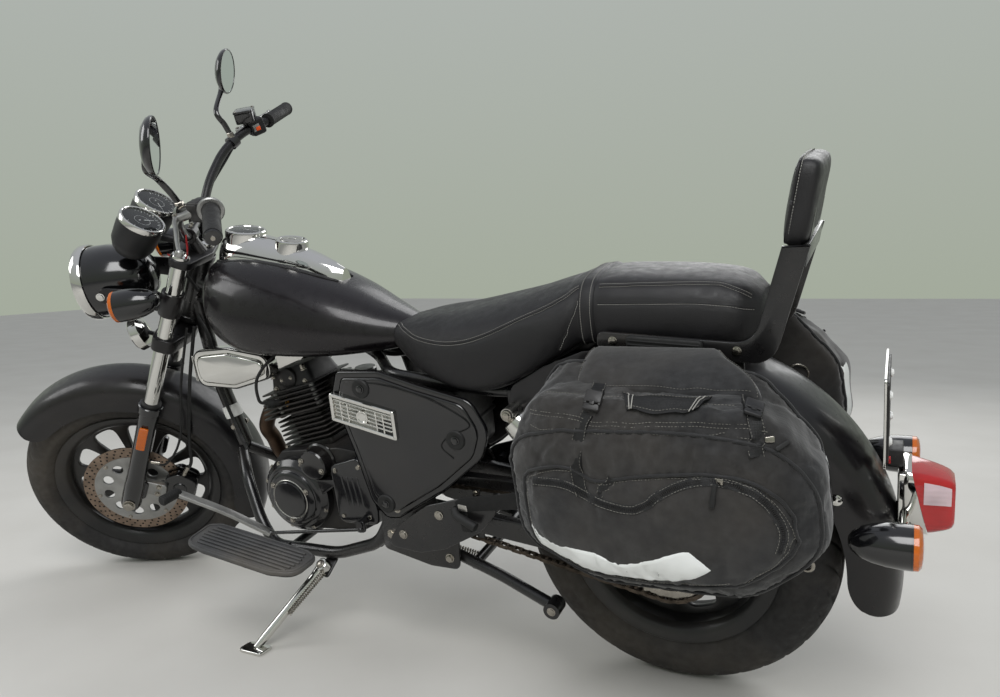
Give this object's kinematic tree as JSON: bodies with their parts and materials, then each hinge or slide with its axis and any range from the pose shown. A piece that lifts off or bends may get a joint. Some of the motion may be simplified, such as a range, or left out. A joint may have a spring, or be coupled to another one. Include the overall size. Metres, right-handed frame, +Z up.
{
  "type": "cruiser motorcycle",
  "caption": "Small air-cooled cruiser motorcycle leaning on its side stand: cast wheels, pulled-back bars, teardrop tank, stepped seat with backrest, soft saddlebags and footboards.",
  "frame": {"origin": "on the floor under the middle of the box round the machine as it stands on its side stand", "axes": "+X ahead, +Y to the left side that it leans to, +Z up"},
  "size_m": [2.2393, 0.8567, 1.3984],
  "materials": {
    "tyre": "matte black rubber with road tread",
    "wheel_black": "semi-gloss black cast alloy",
    "disc_steel": "brushed steel brake band, brown with heat, on a silver carrier",
    "black_gloss": "gloss black paint",
    "black_satin": "deep satin black paint",
    "tank_paint": "deep gloss black paint",
    "chrome": "polished chrome",
    "grip_rubber": "black moulded rubber",
    "black_plastic": "matte black moulded plastic",
    "cast_grey": "dark grey cast aluminium",
    "sprocket_steel": "ground steel",
    "chain_steel": "oiled steel links",
    "frame_black": "gloss black paint on steel tube",
    "engine_black": "satin black heat-resistant paint on cast aluminium",
    "cover_black": "smooth satin black paint",
    "exhaust_dark": "dark heat-tinted steel",
    "seat_leather": "black grained leather with light stitching",
    "bag_fabric": "black woven nylon",
    "amber_lens": "clear amber plastic",
    "red_lens": "clear red plastic"
  },
  "bodies": {
    "frame": {"chain": "chain_steel", "frame_main": "frame_black", "swingarm": "frame_black", "shocks": "chrome", "shock_springs": "chrome", "rear_fender": "black_satin", "fuel_tank": "tank_paint", "tank_console": "chrome", "seat": "seat_leather", "backrest_bars": "frame_black", "backrest_pad": "seat_leather", "saddlebag_left": "bag_fabric", "saddlebag_right": "bag_fabric", "side_covers": "black_satin", "vent_grilles": "chrome", "crankcase": "engine_black", "cylinder": "engine_black", "engine_covers": "cover_black", "intake": "black_plastic", "exhaust": "exhaust_dark", "chrome_pods": "chrome", "tail_lamp": "chrome", "tail_lens": "red_lens", "rear_indicators": "black_gloss", "rear_indicator_lenses": "amber_lens", "plate_bracket": "black_plastic", "foot_rests": "grip_rubber", "foot_controls": "frame_black"},
    "steering": {"fork_sliders": "black_gloss", "fork_tubes": "chrome", "yokes": "black_gloss", "handlebar": "black_gloss", "grips": "grip_rubber", "hand_controls": "black_plastic", "mirrors": "black_gloss", "gauges": "black_gloss", "headlamp_shell": "black_gloss", "headlamp_lens": "chrome", "front_indicators": "black_gloss", "front_indicator_lenses": "amber_lens", "horn": "chrome", "front_fender": "black_satin", "front_caliper": "cast_grey", "fork_hoses": "grip_rubber"},
    "front_wheel": {"front_tyre": "tyre", "front_rim": "wheel_black", "front_disc": "disc_steel"},
    "rear_wheel": {"rear_tyre": "tyre", "rear_rim": "wheel_black", "rear_sprocket": "sprocket_steel"},
    "side_stand": {"side_stand": "chrome"},
    "centre_stand": {"centre_stand": "frame_black"}
  },
  "joints": [
    {"name": "steering_turn", "type": "hinge", "parent": "frame", "child": "steering", "pos_m": [0.82141, -0.09986, 0.27034], "axis": [-0.4874, 0.1546, 0.8594], "range_deg": [-64, 0]},
    {"name": "front_wheel_spin", "type": "hinge", "parent": "steering", "child": "front_wheel", "pos_m": [0.84585, -0.08023, 0.28067], "axis": [-0.4627, 0.7889, -0.4044], "continuous": true},
    {"name": "rear_wheel_spin", "type": "hinge", "parent": "frame", "child": "rear_wheel", "pos_m": [-0.64469, -0.09405, 0.30264], "axis": [0, 0.9842, -0.1771], "continuous": true},
    {"name": "side_stand_fold", "type": "hinge", "parent": "frame", "child": "side_stand", "pos_m": [0.14445, 0.02885, 0.16121], "axis": [0.1513, 0.6969, 0.701], "range_deg": [0, 96.71]},
    {"name": "centre_stand_fold", "type": "hinge", "parent": "frame", "child": "centre_stand", "pos_m": [-0.18304, -0.10272, 0.25444], "axis": [0, -0.9842, 0.1771], "range_deg": [0, 78], "stiffness_Nm_per_rad": 3, "springref_deg": -68.75}
  ]
}
